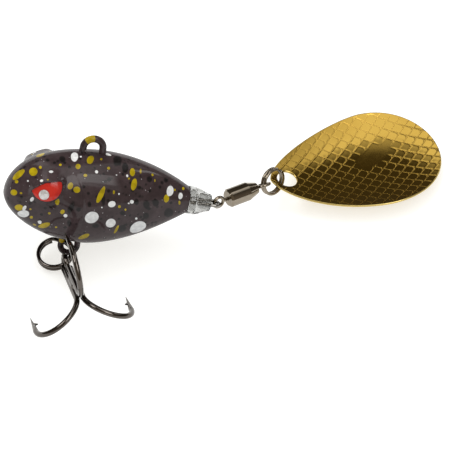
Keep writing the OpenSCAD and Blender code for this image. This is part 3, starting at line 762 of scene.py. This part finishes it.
# Painted wire: one bent wire as in the source, thickened inwards by its paint
def painted_wire():
    tie_r, wire_r, jog_r, coat = 1.7, 0.5, 3.0, 0.09
    leg_end, bare, neck, hanger_leg = -6, -3, -1.2, 4.5
    hanger_r = HOOK_RING_WIRE + COIL_GAP / 2 + wire_r + HANGER_PLAY
    hz = HANGER[2]
    front, rear = -HANGER_LEAD - hanger_r, -HANGER_LEAD + hanger_r
    low = hz + hanger_leg
    shift = HANGER_LEAD + hanger_r - tie_r
    ja = math.acos(1 - shift / (2 * jog_r))
    jh = 2 * jog_r * math.sin(ja)
    a = np.linspace(0, math.pi, 60)
    k = tie_r - coat
    pts = [(tie_r, leg_end), (tie_r, bare), (tie_r - coat / 2, neck)]
    pts += [(k * math.cos(t), k * math.sin(t)) for t in a]
    pts += [(-tie_r + coat / 2, neck), (-tie_r, bare), (-tie_r, low + jh + 0.5)]
    b = np.linspace(0, -ja, 12)
    pts += [(-tie_r - jog_r + jog_r * math.cos(t), low + jh + jog_r * math.sin(t)) for t in b]
    b = np.linspace(math.pi - ja, math.pi, 12)
    pts += [(front + jog_r + jog_r * math.cos(t), low + jog_r * math.sin(t)) for t in b]
    h = np.linspace(math.pi, 2 * math.pi, 60)
    pts += [(-HANGER_LEAD + hanger_r * math.cos(t), hz + hanger_r * math.sin(t)) for t in h]
    pts += [(rear, hz + 1.5), (rear, low)]
    p = np.array(pts)
    path = place(LURE, np.column_stack([p[:, 0], np.zeros(len(p)), p[:, 1]]))
    r = np.where(p[:, 1] > bare, wire_r + coat, wire_r)
    bm = tube(path, r, 24, False, LURE[:3, 1])
    o = new_piece("painted_wire_coat", bm, "lure", ["eye_wire"])
    o.data.materials.append(PAINTED_WIRE)


# Yellow marks on the painted wire: on top of the line tie and on the hanger's front leg
WIRE_SPOTS = [(place(LURE, [-0.75, -0.3, 1.75]), 0.85), (place(LURE, [-2.75, -0.4, -16.9]), 0.6)]
# Middle of the pupil, in the eye's own plane
PUPIL = (-0.16, -1.42, 0)
PAINTED_WIRE = wire_paint()
GOLD = gold_plate()
# The rim's gold is lighter than the faces': a painted highlight along the blade's edge.
GOLD_RIM_HIGHLIGHT = plated("gold_edge_highlight", (0.52, 0.39, 0.13, 1), (0.62, 0.48, 0.18, 1), 0.10, 2600)
BLACK_NICKEL = plated("black_nickel", (0.085, 0.074, 0.066, 1), (0.118, 0.104, 0.093, 1), 0.05, 2600)
# The nickel's warm tint is partly the metal's own colour and partly a painted reflection of the gold
# blade.
NICKEL = plated("nickel", (0.205, 0.174, 0.132, 1), (0.29, 0.25, 0.198, 1), 0.08, 2200)
STEEL = plated("steel_wire", (0.26, 0.25, 0.235, 1), (0.38, 0.365, 0.34, 1), 0.16, 3000)


def dress(node, material):
    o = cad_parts[node]
    o.data.materials.clear()
    o.data.materials.append(material)


body_shell()
eye_rim("left_eye_rim", np.eye(4))
eye_rim("right_eye_rim", MIRROR)
sleeve()
painted_wire()
coil("hook_ring_coil", HOOK_RING, HOOK_RING_R, HOOK_RING_WIRE, HOOK_RING_START,
     "hook_ring", "hook_split_ring", BLACK_NICKEL)
coil("blade_ring_coil", BLADE_RING, BLADE_RING_R, BLADE_RING_WIRE, BLADE_RING_START,
     "blade_ring", "blade_split_ring", NICKEL)
blade()
dress("left_eye", eye_red("left_eye_red", LURE @ LEFT_EYE))
dress("right_eye", eye_red("right_eye_red", LURE @ MIRROR @ LEFT_EYE))
dress("tail_loop", STEEL)
for part in ("treble_double_hook", "treble_single_hook", "treble_braze"):
    dress(part, BLACK_NICKEL)
for part in ("swivel_front_eye", "swivel_barrel", "swivel_rear_eye"):
    dress(part, NICKEL)

# Floor, light and camera
FLOOR_GAP = 0.00002
floor_z = cad_low.z - FLOOR_GAP
bm = bmesh.new()
bmesh.ops.create_grid(bm, x_segments=1, y_segments=1, size=3)
for v in bm.verts:
    v.co.z = floor_z
mesh = bpy.data.meshes.new("floor")
bm.to_mesh(mesh)
bm.free()
floor = bpy.data.objects.new("floor", mesh)
bpy.context.scene.collection.objects.link(floor)
k = Nodes("floor_white")
k.t.nodes.remove(k.p)
diffuse, glow = k.add("ShaderNodeBsdfDiffuse"), k.add("ShaderNodeEmission")
both = k.add("ShaderNodeAddShader")
diffuse.inputs["Color"].default_value = (0.66, 0.69, 0.73, 1)
glow.inputs["Color"].default_value = (0.62, 0.60, 0.555, 1)
light_path = k.add("ShaderNodeLightPath")
seen = light_path.outputs["Is Camera Ray"]
for ray in ("Is Glossy Ray", "Is Transmission Ray"):
    seen = k.math("MAXIMUM", seen, light_path.outputs[ray])
k.link(seen, glow.inputs["Strength"])
k.link(diffuse.outputs[0], both.inputs[0])
k.link(glow.outputs[0], both.inputs[1])
k.link(both.outputs[0], k.t.nodes["Material Output"].inputs["Surface"])
mesh.materials.append(k.m)

world = bpy.data.worlds.new("studio")
bpy.context.scene.world = world
world.use_nodes = True
sky = Nodes("studio", world.node_tree)
split = sky.add("ShaderNodeSeparateXYZ")
sky.link(sky.add("ShaderNodeTexCoord").outputs["Generated"], split.inputs[0])

# The room as the gloss sees it: a softbox overhead with a bowed far edge, a dark far wall,
# a brighter near side, a narrow strip lamp on the right, and panels on the left and in front
dx, dy, dz = split.outputs["X"], split.outputs["Y"], split.outputs["Z"]
off = sky.math("ADD", dx, -0.13)
bowed = sky.math("MULTIPLY", sky.math("MULTIPLY", off, off), 3.5)
past = sky.math("SUBTRACT", dy, sky.math("ADD", bowed, 0.33))
far_edge = sky.math("ADD", sky.step(past, -0.13, -0.10, 0.52, 0.0), sky.step(past, -0.12, 0.12, 0.48, 0.0))
slanted = sky.math("MULTIPLY", sky.math("ADD", dy, -0.1), 0.4)
left_edge = sky.step(sky.math("ADD", dx, slanted), -0.17, -0.13)
right_edge = sky.step(dx, 0.30, 0.62, 1.0, 0.35)
right_end = sky.step(dx, 0.60, 0.64, 1.0, 0.0)
near_edge = sky.step(dy, -0.74, -0.68)
above = sky.step(dz, 0.25, 0.40)
box = far_edge
for part in (left_edge, right_edge, right_end, near_edge, above):
    box = sky.math("MULTIPLY", box, part)


def between(v, low, high):
    """1 where v is between low and high, with soft edges, else 0."""
    soft = 0.03
    rising, falling = sky.step(v, low - soft, low + soft), sky.step(v, high - soft, high + soft, 1.0, 0.0)
    return sky.math("MULTIPLY", rising, falling)


def panel(x0, x1, y0, y1):
    """A lamp panel as the gloss sees it: 1 inside a soft-edged patch of the sky, else 0."""
    return sky.math("MULTIPLY", sky.math("MULTIPLY", between(dx, x0, x1), between(dy, y0, y1)), above)


BOX_LEVEL = 1.85
# Each lamp panel's sides, in directions, and its level: strip lamp, left panel, front panel
PANELS = [
    ((0.67, 0.71, 0.33, 0.9), 6.0),
    ((-0.71, -0.41, -0.27, 0.17), 6.0),
    ((0.19, 0.59, -0.60, -0.23), 3.0),
]
wall = sky.step(dy, -0.9, 0.3, 0.34, 0.10)
room = sky.math("ADD", wall, sky.math("MULTIPLY", box, BOX_LEVEL))
for spot, level in PANELS:
    room = sky.math("ADD", room, sky.math("MULTIPLY", panel(*spot), level))
tint = sky.add("ShaderNodeCombineColor")
for socket, less in zip(tint.inputs, (0.0, 0.14, 0.32)):
    sky.link(sky.math("SUBTRACT", room, sky.math("MULTIPLY", wall, less)), socket)
rays = sky.add("ShaderNodeLightPath")
shiny = sky.math("MAXIMUM", rays.outputs["Is Glossy Ray"], rays.outputs["Is Transmission Ray"])
fill = sky.mix(rays.outputs["Is Camera Ray"], (0.84, 0.835, 0.82, 1), (1, 1, 1, 1))
sky.link(sky.mix(shiny, fill, tint.outputs[0]), sky.t.nodes["Background"].inputs["Color"])

LAMP_AT, LAMP_AIM = Vector((-0.10, 0.20, 0.42)), Vector((0.01, -0.002, -0.01))
LAMP_SIZE, LAMP_WATTS = 0.30, 0.75
softbox = bpy.data.lights.new("softbox", "AREA")
softbox.shape = "SQUARE"
softbox.size, softbox.energy = LAMP_SIZE, LAMP_WATTS
lamp = bpy.data.objects.new("softbox", softbox)
bpy.context.scene.collection.objects.link(lamp)
lamp.location = LAMP_AT
lamp.rotation_euler = (LAMP_AIM - LAMP_AT).to_track_quat("-Z", "Y").to_euler()
lamp.visible_glossy = False

# The camera looks down at the lure from in front, from far off
ELEVATION = math.radians(50)
UP = Vector((0, math.sin(ELEVATION), math.cos(ELEVATION)))
TOWARDS = Vector((0, -math.cos(ELEVATION), math.sin(ELEVATION)))
DISTANCE, VIEW_WIDTH, SENSOR = 2.5, 0.07258, 36
CENTRE_X, CENTRE_UP, CENTRE_NEAR = 21.19, -12.42, -10.0
camera = bpy.data.cameras.new("camera")
viewer = bpy.data.objects.new("camera", camera)
bpy.context.scene.collection.objects.link(viewer)
centre = Vector((CENTRE_X * MM, 0, 0)) + UP * (CENTRE_UP * MM)
viewer.location = centre + TOWARDS * (DISTANCE + CENTRE_NEAR * MM)
viewer.rotation_euler = (math.pi / 2 - ELEVATION, 0, 0)
camera.sensor_width = SENSOR
camera.lens = SENSOR * DISTANCE / VIEW_WIDTH
camera.clip_start, camera.clip_end = 0.01, 20
bpy.context.scene.camera = viewer
bpy.context.scene.view_settings.view_transform = "Standard"
